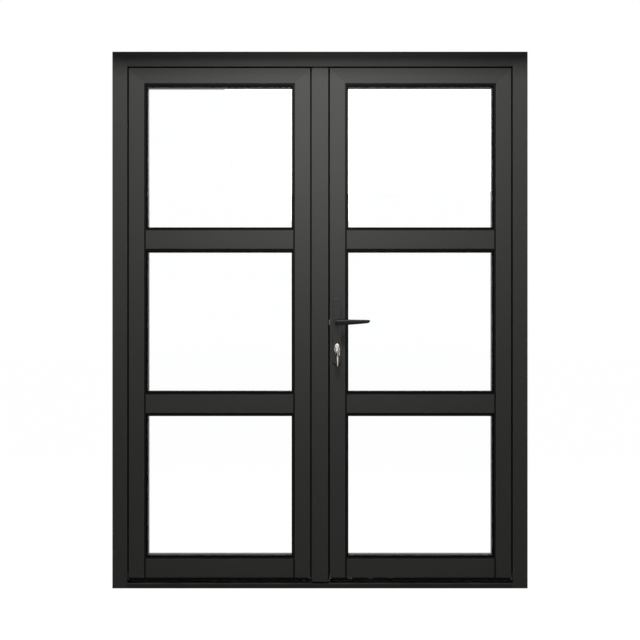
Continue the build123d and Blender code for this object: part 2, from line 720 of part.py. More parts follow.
    with BuildPart() as hinge_leaf_halves:
        axis_x = sign * HINGE_X
        plate_start = hinge_edge + sign * (LEAF_GAP - HINGE_OVERHANG)
        plate_end = plate_start - sign * LEAF_PLATE_WIDTH
        for height, frame_knuckles, (low, high) in hinge_spans():
            box_between(
                (min(plate_start, plate_end), INNER, height - HINGE_LENGTH / 2),
                (max(plate_start, plate_end), INNER + HINGE_PLATE, height + HINGE_LENGTH / 2),
            )
            knuckle(axis_x, low, high, PIN_RADIUS + PIN_CLEARANCE)
            box_between(
                (min(axis_x, plate_start), HINGE_Y - KNUCKLE_RADIUS, low),
                (max(axis_x, plate_start), INNER + HINGE_PLATE, high),
            )
            with BuildSketch(Plane.XY.offset(low)) as bore:
                with Locations((axis_x, HINGE_Y)):
                    Circle(PIN_RADIUS + PIN_CLEARANCE)
            extrude(bore.sketch, amount=high - low, mode=Mode.SUBTRACT)
    save(hinge_leaf_halves, f"{side}_hinge_leaf_halves")

# Astragal: the tube on the left leaf that closes the space between the two leaves
with BuildPart() as astragal:
    astragal_low = ASTRAGAL_BOTTOM + END_CAP
    astragal_high = LEAF_TOP - END_CAP
    with BuildSketch(Plane.XY.offset(astragal_low)) as astragal_section:
        with Locations((0, (OUTER + FRAME_INNER) / 2)):
            Rectangle(ASTRAGAL_FACE, FRAME_DEPTH)
        fillet(astragal_section.vertices().group_by(Axis.Y)[0], EDGE_ROUND)
        chambers(-ASTRAGAL_HALF, ASTRAGAL_HALF, OUTER, FRAME_INNER)
        with Locations((-ASTRAGAL_HALF - LEAF_GAP / 2, BRIDGE_CENTRE)):
            Rectangle(LEAF_GAP, BRIDGE_THICKNESS)
    extrude(amount=astragal_high - astragal_low)
    # Recess for the strike plate, and its two openings
    strike_low = DEADBOLT_Z - DEADBOLT_HEIGHT / 2 - STRIKE_MARGIN
    strike_high = SPINDLE_Z + LATCH_HEIGHT / 2 + STRIKE_MARGIN
    box_between(
        (ASTRAGAL_HALF - STRIKE_THICKNESS, -FACEPLATE_WIDTH / 2, strike_low),
        (ASTRAGAL_HALF, FACEPLATE_WIDTH / 2, strike_high),
        mode=Mode.SUBTRACT,
    )
    for centre_z, height in ((DEADBOLT_Z, DEADBOLT_HEIGHT), (SPINDLE_Z, LATCH_HEIGHT)):
        box_between(
            (0, -LATCH_THICKNESS / 2 - STRIKE_CLEARANCE, centre_z - height / 2 - STRIKE_CLEARANCE),
            (
                ASTRAGAL_HALF,
                LATCH_THICKNESS / 2 + STRIKE_CLEARANCE,
                centre_z + height / 2 + STRIKE_CLEARANCE,
            ),
            mode=Mode.SUBTRACT,
        )
save(astragal, "astragal")

with BuildPart() as astragal_end_caps:
    for cap_low in (ASTRAGAL_BOTTOM, LEAF_TOP - END_CAP):
        with BuildSketch(Plane.XY.offset(cap_low)) as cap:
            with Locations((0, (OUTER + FRAME_INNER) / 2)):
                Rectangle(ASTRAGAL_FACE, FRAME_DEPTH)
            fillet(cap.vertices().group_by(Axis.Y)[0], EDGE_ROUND)
        extrude(amount=END_CAP)
save(astragal_end_caps, "astragal_end_caps")

with BuildPart() as astragal_seal:
    box_between(
        (ASTRAGAL_HALF, FIN_CENTRE - FIN_THICKNESS / 2, THRESHOLD_TOP + SEAL_CLEARANCE),
        (MEETING_EDGE - SEAL_CLEARANCE, FIN_CENTRE + FIN_THICKNESS / 2, LEAF_TOP - END_CAP),
    )
save(astragal_seal, "astragal_seal")

with BuildPart() as strike_plate:
    box_between(
        (ASTRAGAL_HALF - STRIKE_THICKNESS, -FACEPLATE_WIDTH / 2, strike_low),
        (ASTRAGAL_HALF, FACEPLATE_WIDTH / 2, strike_high),
    )
    for centre_z, height in ((DEADBOLT_Z, DEADBOLT_HEIGHT), (SPINDLE_Z, LATCH_HEIGHT)):
        box_between(
            (
                0,
                -LATCH_THICKNESS / 2 - 2 * BOLT_CLEARANCE,
                centre_z - height / 2 - 2 * BOLT_CLEARANCE,
            ),
            (
                ASTRAGAL_HALF,
                LATCH_THICKNESS / 2 + 2 * BOLT_CLEARANCE,
                centre_z + height / 2 + 2 * BOLT_CLEARANCE,
            ),
            mode=Mode.SUBTRACT,
        )
save(strike_plate, "strike_plate")

# Shoot bolts of the left leaf, drawn back, and the guides that hold them in the stile
with BuildPart() as shoot_bolt_guides:
    for bolt_tip, into, throw in SHOOT_BOLTS.values():
        with BuildSketch(Plane(origin=(SHOOT_X, 0, bolt_tip), x_dir=(1, 0, 0), z_dir=(0, 0, into))):
            Rectangle(SHOOT_GUIDE_WIDTH, 2 * CHAMBER_HALF)
            Circle(SHOOT_RADIUS + SHOOT_CLEARANCE, mode=Mode.SUBTRACT)
        extrude(amount=SHOOT_GUIDE_LENGTH)
save(shoot_bolt_guides, "shoot_bolt_guides")

for bolt_name, (bolt_tip, into, throw) in SHOOT_BOLTS.items():
    with BuildPart() as shoot_bolt:
        with BuildSketch(Plane(origin=(SHOOT_X, 0, bolt_tip), x_dir=(1, 0, 0), z_dir=(0, 0, into))):
            Circle(SHOOT_RADIUS)
        extrude(amount=SHOOT_LENGTH)
        chamfer(shoot_bolt.edges().filter_by(GeomType.CIRCLE), 1.0)
        # The knob stands out of the stile's inner face on a stem
        knob_z = bolt_tip + into * KNOB_FROM_TIP
        with BuildSketch(facing(SHOOT_X, INNER + KNOB_GAP, knob_z)) as stem:
            Circle(KNOB_STEM_RADIUS)
        extrude(stem.sketch, amount=INNER + KNOB_GAP)
        with BuildSketch(facing(SHOOT_X, INNER + KNOB_GAP + KNOB_THICKNESS, knob_z)) as knob:
            Circle(KNOB_RADIUS)
        extrude(knob.sketch, amount=KNOB_THICKNESS)
        chamfer(shoot_bolt.faces().sort_by(Axis.Y)[-1].edges(), 1.2)
    save(shoot_bolt, f"{bolt_name}_shoot_bolt")

# Lock case: an open-fronted steel box in the right leaf's meeting stile
with BuildPart() as lock_case:
    half = CASE_THICKNESS / 2
    case_low, case_high = SPINDLE_Z - CASE_BELOW, SPINDLE_Z + CASE_ABOVE
    box_between((CASE_FRONT, -half, case_low), (CASE_BACK, half, case_high))
    box_between(
        (CASE_FRONT, CASE_WALL - half, case_low + CASE_WALL),
        (CASE_BACK - CASE_WALL, half - CASE_WALL, case_high - CASE_WALL),
        mode=Mode.SUBTRACT,
    )
    with BuildSketch(facing(SPINDLE_X, half, SPINDLE_Z)) as follower_hole:
        Circle(SPINDLE_HOLE)
    extrude(follower_hole.sketch, amount=CASE_THICKNESS, mode=Mode.SUBTRACT)
    cylinder_cut = cylinder_profile(facing(SPINDLE_X, half, CYLINDER_Z), CYLINDER_CLEARANCE)
    extrude(cylinder_cut, amount=CASE_THICKNESS, mode=Mode.SUBTRACT)
save(lock_case, "lock_case")

with BuildPart() as faceplate:
    with BuildSketch(
        Plane(
            origin=(MEETING_EDGE, 0, SPINDLE_Z + (CASE_ABOVE - CASE_BELOW) / 2),
            x_dir=(0, 1, 0),
            z_dir=(1, 0, 0),
        )
    ):
        Rectangle(FACEPLATE_WIDTH, CASE_ABOVE + CASE_BELOW + 2 * FACEPLATE_MARGIN)
    extrude(amount=FACEPLATE)
    for centre_z, height in ((DEADBOLT_Z, DEADBOLT_HEIGHT), (SPINDLE_Z, LATCH_HEIGHT)):
        box_between(
            (0, -LATCH_THICKNESS / 2 - BOLT_CLEARANCE, centre_z - height / 2 - BOLT_CLEARANCE),
            (
                CASE_FRONT,
                LATCH_THICKNESS / 2 + BOLT_CLEARANCE,
                centre_z + height / 2 + BOLT_CLEARANCE,
            ),
            mode=Mode.SUBTRACT,
        )
save(faceplate, "lock_faceplate")

# Latch bolt, sprung out, with its closing bevel on the outer side
with BuildPart() as latch_bolt:
    with BuildSketch(Plane.XY.offset(SPINDLE_Z - LATCH_HEIGHT / 2)):
        with BuildLine():
            tip = MEETING_EDGE - LATCH_PROUD
            Polyline(
                (tip, LATCH_THICKNESS / 2),
                (tip, LATCH_THICKNESS / 2 - 2),
                (MEETING_EDGE - 2, -LATCH_THICKNESS / 2),
                (CASE_FRONT + LATCH_BODY, -LATCH_THICKNESS / 2),
                (CASE_FRONT + LATCH_BODY, LATCH_THICKNESS / 2),
                close=True,
            )
        make_face()
    extrude(amount=LATCH_HEIGHT)
save(latch_bolt, "latch_bolt")

with BuildPart() as deadbolt:
    box_between(
        (MEETING_EDGE, -LATCH_THICKNESS / 2, DEADBOLT_Z - DEADBOLT_HEIGHT / 2),
        (MEETING_EDGE + DEADBOLT_BODY, LATCH_THICKNESS / 2, DEADBOLT_Z + DEADBOLT_HEIGHT / 2),
    )
    chamfer(deadbolt.edges().filter_by(Axis.Z).group_by(Axis.X)[0], 1.0)
save(deadbolt, "deadbolt")

# Backplates: long plates with full-round ends and a rounded front edge, one on each face
for plate_name, face_sign in (("outer", -1), ("inner", 1)):
    back_y = face_sign * INNER
    out = Plane(origin=(SPINDLE_X, back_y, 0), x_dir=(1, 0, 0), z_dir=(0, face_sign, 0))
    up = -face_sign
    with BuildPart() as backplate:
        with BuildSketch(out) as plate_outline:
            with Locations((0, up * PLATE_CENTRE_Z)):
                SlotOverall(PLATE_LENGTH, PLATE_WIDTH, rotation=90)
        extrude(amount=PLATE_THICKNESS)
        front_edges = backplate.faces().sort_by(Axis.Y)[0 if face_sign < 0 else -1].edges()
        fillet(front_edges, PLATE_EDGE)
        with BuildSketch(out) as neck_hole:
            with Locations((0, up * SPINDLE_Z)):
                Circle(NECK_RADIUS + NECK_CLEARANCE)
        extrude(amount=PLATE_THICKNESS, mode=Mode.SUBTRACT)
        cylinder_cut = cylinder_profile(facing(SPINDLE_X, PLATE_FACE, CYLINDER_Z), CYLINDER_CLEARANCE)
        extrude(cylinder_cut, amount=2 * PLATE_FACE, mode=Mode.SUBTRACT)
        if plate_name == "inner":
            with Locations(
                Plane(origin=(SPINDLE_X, PLATE_FACE, SPINDLE_Z + PLATE_SCREW_RISE), z_dir=(0, 1, 0)),
                Plane(origin=(SPINDLE_X, PLATE_FACE, SPINDLE_Z - PLATE_SCREW_DROP), z_dir=(0, 1, 0)),
            ):
                CounterSinkHole(
                    PLATE_SCREW_RADIUS + BOLT_CLEARANCE / 2,
                    PLATE_SCREW_HEAD + BOLT_CLEARANCE / 2,
                    depth=PLATE_THICKNESS,
                )
    save(backplate, f"{plate_name}_backplate")

# Screws from the inner backplate through the stile to the back of the outer one
with BuildPart() as plate_screws:
    for screw_z in (SPINDLE_Z + PLATE_SCREW_RISE, SPINDLE_Z - PLATE_SCREW_DROP):
        with BuildSketch(Plane(origin=(SPINDLE_X, 0, screw_z))):
            with BuildLine():
                head_depth = PLATE_SCREW_HEAD - PLATE_SCREW_RADIUS
                Polyline(
                    (0, OUTER),
                    (PLATE_SCREW_RADIUS, OUTER),
                    (PLATE_SCREW_RADIUS, PLATE_FACE - head_depth),
                    (PLATE_SCREW_HEAD, PLATE_FACE),
                    (0, PLATE_FACE),
                    close=True,
                )
            make_face()
        revolve(axis=Axis((SPINDLE_X, 0, screw_z), (0, 1, 0)))
        with BuildSketch(
            Plane(origin=(SPINDLE_X, PLATE_FACE, screw_z), x_dir=(1, 0, 0), z_dir=(0, 1, 0))
        ):
            RegularPolygon(1.6, 6)
        extrude(amount=-1.6, mode=Mode.SUBTRACT)
save(plate_screws, "plate_screws")

# Spindle and the two levers that turn with it
with BuildPart() as lever_spindle:
    with BuildSketch(facing(SPINDLE_X, PLATE_FACE, SPINDLE_Z)):
        Rectangle(SPINDLE_SQUARE, SPINDLE_SQUARE)
    extrude(amount=2 * PLATE_FACE)
save(lever_spindle, "lever_spindle")

# Where the lever's sections stand along its grip, measured from the pivot
LEVER_STATIONS = (-9.0, -8.0, -6.0, -3.5, 0.0, 20.0, 45.0, 70.0, 95.0, 115.0, 121.0, 125.0, 127.0)


def lever_section(along):
    """Height and depth of the grip at a station, with both of its ends rounded off."""
    taper = (max(along, 0) / LEVER_LENGTH) ** 1.6
    height = LEVER_ROOT_HEIGHT + taper * (LEVER_TIP_HEIGHT - LEVER_ROOT_HEIGHT)
    depth = LEVER_ROOT_DEPTH + taper * (LEVER_TIP_DEPTH - LEVER_ROOT_DEPTH)
    beyond = max(-along, along - LEVER_LENGTH + LEVER_END_ROUND, 0)
    rounding = (1 - (beyond / (LEVER_END_ROUND + 0.6)) ** 2) ** 0.5
    return height * rounding, depth * rounding


for lever_name, face_sign in (("outer", -1), ("inner", 1)):
    grip_y = face_sign * (PLATE_FACE + LEVER_STANDOFF)
    with BuildPart() as lever:
        for along in LEVER_STATIONS:
            height, depth = lever_section(along)
            # The upper edge stays almost straight, so the taper is taken from below
            rise = max(lever_section(0)[0] - height, 0) * 0.3 if along > 0 else 0
            station = Plane(
                origin=(SPINDLE_X + along, grip_y, SPINDLE_Z + rise),
                x_dir=(0, 1, 0),
                z_dir=(1, 0, 0),
            )
            with BuildSketch(station):
                Ellipse(depth / 2, height / 2)
        loft(ruled=True)
        neck_plane = Plane(
            origin=(SPINDLE_X, face_sign * INNER, SPINDLE_Z), x_dir=(1, 0, 0), z_dir=(0, face_sign, 0)
        )
        with BuildSketch(neck_plane) as neck:
            Circle(NECK_RADIUS)
        extrude(neck.sketch, amount=PLATE_THICKNESS + LEVER_STANDOFF)
        with BuildSketch(neck_plane) as socket:
            Rectangle(
                SPINDLE_SQUARE + 2 * KEYWAY_CLEARANCE, SPINDLE_SQUARE + 2 * KEYWAY_CLEARANCE
            )
        extrude(socket.sketch, amount=PLATE_THICKNESS, mode=Mode.SUBTRACT)
    save(lever, f"{lever_name}_lever")

# Profile cylinder: its body is fixed in the leaf, and the plug turns in the outer half
cylinder_length = 2 * (PLATE_FACE + CYLINDER_PROUD)
cylinder_face = -cylinder_length / 2
with BuildPart() as cylinder_body:
    extrude(
        cylinder_profile(facing(SPINDLE_X, cylinder_length / 2, CYLINDER_Z)),
        amount=cylinder_length,
    )
    with BuildSketch(facing(SPINDLE_X, cylinder_face + PLUG_LENGTH, CYLINDER_Z)) as plug_bore:
        Circle(PLUG_RADIUS + PLUG_CLEARANCE)
    extrude(plug_bore.sketch, amount=PLUG_LENGTH, mode=Mode.SUBTRACT)
save(cylinder_body, "cylinder_body")

with BuildPart() as cylinder_plug:
    with BuildSketch(facing(SPINDLE_X, cylinder_face + PLUG_LENGTH, CYLINDER_Z)):
        Circle(PLUG_RADIUS)
        Rectangle(
            KEY_THICKNESS + 2 * KEYWAY_CLEARANCE, KEY_BLADE + 2 * KEYWAY_CLEARANCE, mode=Mode.SUBTRACT
        )
    extrude(amount=PLUG_LENGTH)
save(cylinder_plug, "cylinder_plug")


def key_outline(blade_length, neck):
    """A flat key: a rounded bow with a ring hole at x = 0, and a blade that runs to +x."""
    with BuildSketch(Plane.XY, mode=Mode.PRIVATE) as outline:
        bow_centre = KEY_BOW_DEPTH / 2 - KEY_HOLE_FROM_END
        with Locations((bow_centre, 0)):
            RectangleRounded(KEY_BOW_DEPTH, KEY_BOW, KEY_BOW_DEPTH * 0.42)
        bow_end = KEY_BOW_DEPTH - KEY_HOLE_FROM_END
        with Locations((bow_end + (neck + blade_length) / 2 - 1, 0)):
            Rectangle(neck + blade_length + 2, KEY_BLADE)
        Circle(KEY_HOLE_RADIUS, mode=Mode.SUBTRACT)
    return outline.sketch


with BuildPart() as key:
    # The key stands on edge, so its flat side faces along X
    key_plane = Plane(
        origin=(SPINDLE_X - KEY_THICKNESS / 2, KEY_HOLE_Y, CYLINDER_Z), x_dir=(0, 1, 0), z_dir=(1, 0, 0)
    )
    extrude(key_plane * key_outline(KEY_BLADE_LENGTH, KEY_NECK), amount=KEY_THICKNESS)
save(key, "key")

# The ring hangs from the bow's hole, and two spare keys hang from the ring
ring_centre_z = RING_TOP_Z - RING_RADIUS
with BuildPart() as split_ring:
    with BuildSketch(Plane(origin=(SPINDLE_X, KEY_HOLE_Y, ring_centre_z))):
        with Locations((RING_RADIUS, 0)):
            Circle(RING_WIRE)
    revolve(axis=Axis((SPINDLE_X, KEY_HOLE_Y, ring_centre_z), (0, 1, 0)))
save(split_ring, "split_ring")

with BuildPart() as spare_keys:
    spare_blade = SPARE_KEY_LENGTH - KEY_BOW_DEPTH
    hang_z = ring_centre_z - RING_RADIUS - (KEY_HOLE_RADIUS - RING_WIRE) * 0.7
    for turn, tilt, offset in zip(SPARE_KEY_TURNS, SPARE_KEY_TILTS, SPARE_KEY_OFFSETS):
        face = Vector(1, 0, 0).rotate(Axis.Z, turn)
        fall = Vector(0, 0, -1).rotate(Axis((0, 0, 0), face), tilt)
        hang = Plane(origin=(SPINDLE_X + offset, KEY_HOLE_Y, hang_z), x_dir=fall, z_dir=face)
        extrude(hang.offset(-KEY_THICKNESS / 2) * key_outline(spare_blade, 0), amount=KEY_THICKNESS)
save(spare_keys, "spare_keys")
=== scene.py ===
# %% [markdown]
# # A double-leaf glazed door in dark aluminium
# The door stands closed in its own frame. The measured solids are loaded first and never moved;
# this lesson gives them their finishes and adds the small pieces that a solid model leaves out.

# %% Load the measured solids
import json
import math

import bmesh
import bpy
from mathutils import Matrix, Vector


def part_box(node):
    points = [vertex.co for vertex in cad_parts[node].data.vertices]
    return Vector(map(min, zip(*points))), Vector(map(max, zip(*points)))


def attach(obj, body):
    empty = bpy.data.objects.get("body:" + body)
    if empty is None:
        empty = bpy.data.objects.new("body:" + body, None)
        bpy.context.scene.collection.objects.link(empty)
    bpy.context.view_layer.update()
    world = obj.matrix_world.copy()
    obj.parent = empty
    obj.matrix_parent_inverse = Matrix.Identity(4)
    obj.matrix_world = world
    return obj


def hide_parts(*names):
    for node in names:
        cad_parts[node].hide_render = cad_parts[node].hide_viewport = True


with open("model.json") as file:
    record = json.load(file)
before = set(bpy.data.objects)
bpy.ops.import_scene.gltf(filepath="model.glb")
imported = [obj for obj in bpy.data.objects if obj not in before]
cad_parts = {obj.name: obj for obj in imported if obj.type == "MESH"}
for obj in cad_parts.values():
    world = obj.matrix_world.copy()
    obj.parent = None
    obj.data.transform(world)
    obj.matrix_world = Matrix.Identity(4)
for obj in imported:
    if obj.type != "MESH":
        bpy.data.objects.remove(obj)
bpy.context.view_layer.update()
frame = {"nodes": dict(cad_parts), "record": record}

# %% [markdown]
# ## Helpers for node trees
# Every finish below is a small tree of shader nodes. Short helpers keep the trees readable: one
# adds a node and fills in its settings, one joins two sockets, one adds a number that a group takes
# in, and one does a sum with sockets or plain numbers.


# %% Node helpers
def add_node(tree, kind, place, **settings):
    node = tree.nodes.new(kind)
    node.location = place
    for name, value in settings.items():
        setattr(node, name, value)
    return node


def join(tree, source, target):
    tree.links.new(source, target)


def value_socket(tree, name, default):
    socket = tree.interface.new_socket(name=name, in_out="INPUT", socket_type="NodeSocketFloat")
    socket.default_value = default


def math_node(tree, operation, place, first, second):
    node = add_node(tree, "ShaderNodeMath", place, operation=operation)
    for socket, item in zip(node.inputs, (first, second)):
        if isinstance(item, (int, float)):
            socket.default_value = item
        else:
            join(tree, item, socket)
    return node.outputs["Value"]


print("helpers ready")

# %% [markdown]
# ## Effects that several finishes share
# Powder coat, moulded rubber and cast handles all have a fine uneven skin, so the skin is one
# group of nodes with the size of its grain as an input. It puts out a height for a Bump node and a
# speckle that changes the colour a little. Object coordinates keep it fixed to the metal.


# %% Group: fine uneven skin
def make_fine_skin():
    tree = bpy.data.node_groups.new("fine_skin", "ShaderNodeTree")
    value_socket(tree, "Grain per metre", 900.0)
    value_socket(tree, "Waviness per metre", 60.0)
    for name in ("Height", "Speckle"):
        tree.interface.new_socket(name=name, in_out="OUTPUT", socket_type="NodeSocketFloat")
    entry = add_node(tree, "NodeGroupInput", (-700, 0))
    leave = add_node(tree, "NodeGroupOutput", (400, 0))
    place = add_node(tree, "ShaderNodeTexCoord", (-700, -200))
    grain = add_node(tree, "ShaderNodeTexNoise", (-450, 150))
    grain.inputs["Detail"].default_value = 2.0
    wave = add_node(tree, "ShaderNodeTexNoise", (-450, -150))
    wave.inputs["Detail"].default_value = 1.0
    join(tree, entry.outputs["Grain per metre"], grain.inputs["Scale"])
    join(tree, entry.outputs["Waviness per metre"], wave.inputs["Scale"])
    for texture in (grain, wave):
        join(tree, place.outputs["Object"], texture.inputs["Vector"])
    mixed = math_node(tree, "MULTIPLY", (-200, 0), wave.outputs["Fac"], 0.5)
    height = math_node(tree, "ADD", (0, 0), grain.outputs["Fac"], mixed)
    join(tree, height, leave.inputs["Height"])
    join(tree, grain.outputs["Fac"], leave.inputs["Speckle"])
    return tree


fine_skin = make_fine_skin()
print("made the group", fine_skin.name)

# %% [markdown]
# A door gathers dust near the floor. This group measures height above the floor and breaks the
# line up with noise, so it never ends in a ruler line. Faces that look up get five times as much of
# the pale colour: partly dust that settles there, partly painted top light, the lighter tone a
# tread shows under a lamp above. Its output is a mask between 0 and 1.


# %% Group: dust near the floor and painted top light
PAINTED_TOP_LIGHT_BOOST = 4.0


def make_dust_and_top_light():
    tree = bpy.data.node_groups.new("dust_and_top_light", "ShaderNodeTree")
    value_socket(tree, "Reach", 0.25)
    value_socket(tree, "Strength", 0.3)
    tree.interface.new_socket(name="Dust and top light", in_out="OUTPUT", socket_type="NodeSocketFloat")
    entry = add_node(tree, "NodeGroupInput", (-700, 0))
    leave = add_node(tree, "NodeGroupOutput", (600, 0))
    place = add_node(tree, "ShaderNodeTexCoord", (-700, -200))
    split = add_node(tree, "ShaderNodeSeparateXYZ", (-500, -200))
    join(tree, place.outputs["Object"], split.inputs["Vector"])
    share = math_node(tree, "DIVIDE", (-300, 0), split.outputs["Z"], entry.outputs["Reach"])
    fade = math_node(tree, "SUBTRACT", (-100, 0), 1.0, share)
    cloud = add_node(tree, "ShaderNodeTexNoise", (-300, -300))
    cloud.inputs["Scale"].default_value = 14.0
    cloud.inputs["Detail"].default_value = 5.0
    join(tree, place.outputs["Object"], cloud.inputs["Vector"])
    broken = math_node(tree, "MULTIPLY", (100, 0), fade, cloud.outputs["Fac"])
    # Painted top light, partly dust: faces that look up get up to five times as much pale colour.
    facing_up = add_node(tree, "ShaderNodeSeparateXYZ", (-500, 250))
    join(tree, place.outputs["Normal"], facing_up.inputs["Vector"])
    above = math_node(tree, "MAXIMUM", (-300, 250), facing_up.outputs["Z"], 0.0)
    extra = math_node(tree, "MULTIPLY", (-100, 250), above, PAINTED_TOP_LIGHT_BOOST)
    painted_top_light_factor = math_node(tree, "ADD", (100, 250), extra, 1.0)
    strength = math_node(tree, "MULTIPLY", (200, 120), painted_top_light_factor, entry.outputs["Strength"])
    level = math_node(tree, "MULTIPLY", (300, 0), broken, strength)
    clamp = add_node(tree, "ShaderNodeClamp", (450, 0))
    join(tree, level, clamp.inputs["Value"])
    join(tree, clamp.outputs["Result"], leave.inputs["Dust and top light"])
    return tree


dust_and_top_light = make_dust_and_top_light()
print("made the group", dust_and_top_light.name)

# %% [markdown]
# Light hardly gets deep into a rebate, so this mask paints shade into the coat's colour: the steps
# round each lite and the walls of each gap are painted almost black. The mask is 1 from a little
# behind the front face and fades out at a named depth. It measures along the door's own depth, so
# the painted shade stays with a leaf that opens, and it leaves out the frame's outer faces, which
# are in full light when no wall is there.


# %% Group: painted shade in the rebates
INSIDE_HALF_WIDTH = 0.805
INSIDE_HEIGHT = 2.092


# This group paints shade: near-black colour where only shade falls deep in the rebates.
def make_painted_rebate_shade():
    tree = bpy.data.node_groups.new("painted_rebate_shade", "ShaderNodeTree")
    value_socket(tree, "Starts at", -0.0308)
    value_socket(tree, "Full at", -0.0303)
    value_socket(tree, "Fades from", -0.008)
    value_socket(tree, "Ends at", 0.022)
    tree.interface.new_socket(name="Recess", in_out="OUTPUT", socket_type="NodeSocketFloat")
    entry = add_node(tree, "NodeGroupInput", (-700, 0))
    leave = add_node(tree, "NodeGroupOutput", (400, 0))
    place = add_node(tree, "ShaderNodeTexCoord", (-700, -200))
    split = add_node(tree, "ShaderNodeSeparateXYZ", (-500, -200))
    join(tree, place.outputs["Object"], split.inputs["Vector"])
    rise = add_node(tree, "ShaderNodeMapRange", (-250, 150))
    fall = add_node(tree, "ShaderNodeMapRange", (-250, -150))
    for node, start, end in ((rise, "Starts at", "Full at"), (fall, "Ends at", "Fades from")):
        join(tree, split.outputs["Y"], node.inputs["Value"])
        join(tree, entry.outputs[start], node.inputs["From Min"])
        join(tree, entry.outputs[end], node.inputs["From Max"])
    mask = math_node(tree, "MULTIPLY", (0, 0), rise.outputs["Result"], fall.outputs["Result"])
    width = math_node(tree, "ABSOLUTE", (-250, 400), split.outputs["X"], 0.0)
    limits = ((width, INSIDE_HALF_WIDTH, 400), (split.outputs["Z"], INSIDE_HEIGHT, 300))
    for distance, limit, row in limits:
        inside = math_node(tree, "LESS_THAN", (-80, row), distance, limit)
        mask = math_node(tree, "MULTIPLY", (150, row), mask, inside)
    join(tree, mask, leave.inputs["Recess"])
    return tree


painted_rebate_shade = make_painted_rebate_shade()
print("made the group", painted_rebate_shade.name)

# %% [markdown]
# ## Finishes
# All finishes start in the same way: a new material with one Principled shader, a gloss that
# wanders between two values and a bump made from some height. Those steps are helpers, so each
# finish below says only what is its own.


# %% Helpers for finishes
def new_finish(name):
    material = bpy.data.materials.new(name)
    material.use_nodes = True
    tree = material.node_tree
    return material, tree, tree.nodes["Principled BSDF"]


def wandering_gloss(tree, shader, source, low, high):
    gloss = add_node(tree, "ShaderNodeMapRange", (-250, -50))
    gloss.inputs["To Min"].default_value = low
    gloss.inputs["To Max"].default_value = high
    join(tree, source, gloss.inputs["Value"])
    join(tree, gloss.outputs["Result"], shader.inputs["Roughness"])


def bump_from(tree, shader, height, strength, distance):
    relief = add_node(tree, "ShaderNodeBump", (-250, -350))
    relief.inputs["Strength"].default_value = strength
    relief.inputs["Distance"].default_value = distance
    join(tree, height, relief.inputs["Height"])
    join(tree, relief.outputs["Normal"], shader.inputs["Normal"])


def two_tones(tree, place, mask, first, second):
    mix = add_node(tree, "ShaderNodeMixRGB", place, blend_type="MIX")
    join(tree, mask, mix.inputs["Fac"])
    for socket, tone in ((mix.inputs["Color1"], first), (mix.inputs["Color2"], second)):
        if isinstance(tone, tuple):
            socket.default_value = (*tone, 1)
        else:
            join(tree, tone, socket)
    return mix.outputs["Color"]


def shade_of(colour, factor):
    return tuple(channel * factor for channel in colour)


print("finish helpers ready")

# %% [markdown]
# A coated metal is not one flat colour: the powder has a fine skin, its gloss wanders a little,
# rebates get painted shade, and dust pales it near the floor, with painted top light on faces that
# look up. One function makes such a finish from a few named numbers, so profiles, threshold, hinges
# and handle differ only where the real ones do.

# %% Coated metal
# Painted shade: the near-black put into the coat's colour deep in the rebates.
PAINTED_SHADE_BLACK = (0.006, 0.006, 0.0055)
# This dust colour also paints top light on faces that look up.
DUST_AND_TOP_LIGHT_COLOUR = (0.16, 0.15, 0.135)


def coated(name, colour, roughness, grain=900.0, bump=0.02, dust_and_top_light_share=0.0, specular=0.3, painted_shade_share=0.0):
    material, tree, shader = new_finish(name)
    shader.inputs["Specular IOR Level"].default_value = specular
    skin = add_node(tree, "ShaderNodeGroup", (-900, 0), node_tree=fine_skin)
    skin.inputs["Grain per metre"].default_value = grain
    speckle = skin.outputs["Speckle"]
    mottle = two_tones(
        tree, (-500, 250), speckle, shade_of(colour, 0.94), shade_of(colour, 1.07)
    )
    # Painted shade in the rebates first, then dust with painted top light near the floor.
    shade = add_node(tree, "ShaderNodeGroup", (-700, 450), node_tree=painted_rebate_shade)
    depth = math_node(tree, "MULTIPLY", (-500, 450), shade.outputs["Recess"], painted_shade_share)
    with_painted_shade = two_tones(tree, (-380, 350), depth, mottle, PAINTED_SHADE_BLACK)
    veil = add_node(tree, "ShaderNodeGroup", (-500, -50), node_tree=dust_and_top_light)
    veil.inputs["Strength"].default_value = dust_and_top_light_share
    dusty_and_top_lit = two_tones(tree, (-250, 250), veil.outputs["Dust and top light"], with_painted_shade, DUST_AND_TOP_LIGHT_COLOUR)
    join(tree, dusty_and_top_lit, shader.inputs["Base Color"])
    wandering_gloss(tree, shader, speckle, roughness - 0.05, roughness + 0.07)
    bump_from(tree, shader, skin.outputs["Height"], bump, 0.001)
    return material


print("coated metal can be made")

# %% [markdown]
# The profiles are matt and dark grey. The top rails and the head get a slightly darker copy of the
# same
# coat, which is painted shade: on the real door they differ only in how the light falls on them.
# The handle is blacker and glossier than its backplate.

# %% Coats of this door
OUTER_COAT = {"bump": 0.25, "painted_shade_share": 0.9}
profile_coat = coated(
    "profile_coat", (0.088, 0.088, 0.085), 0.42, dust_and_top_light_share=0.05, specular=0.05, **OUTER_COAT
)
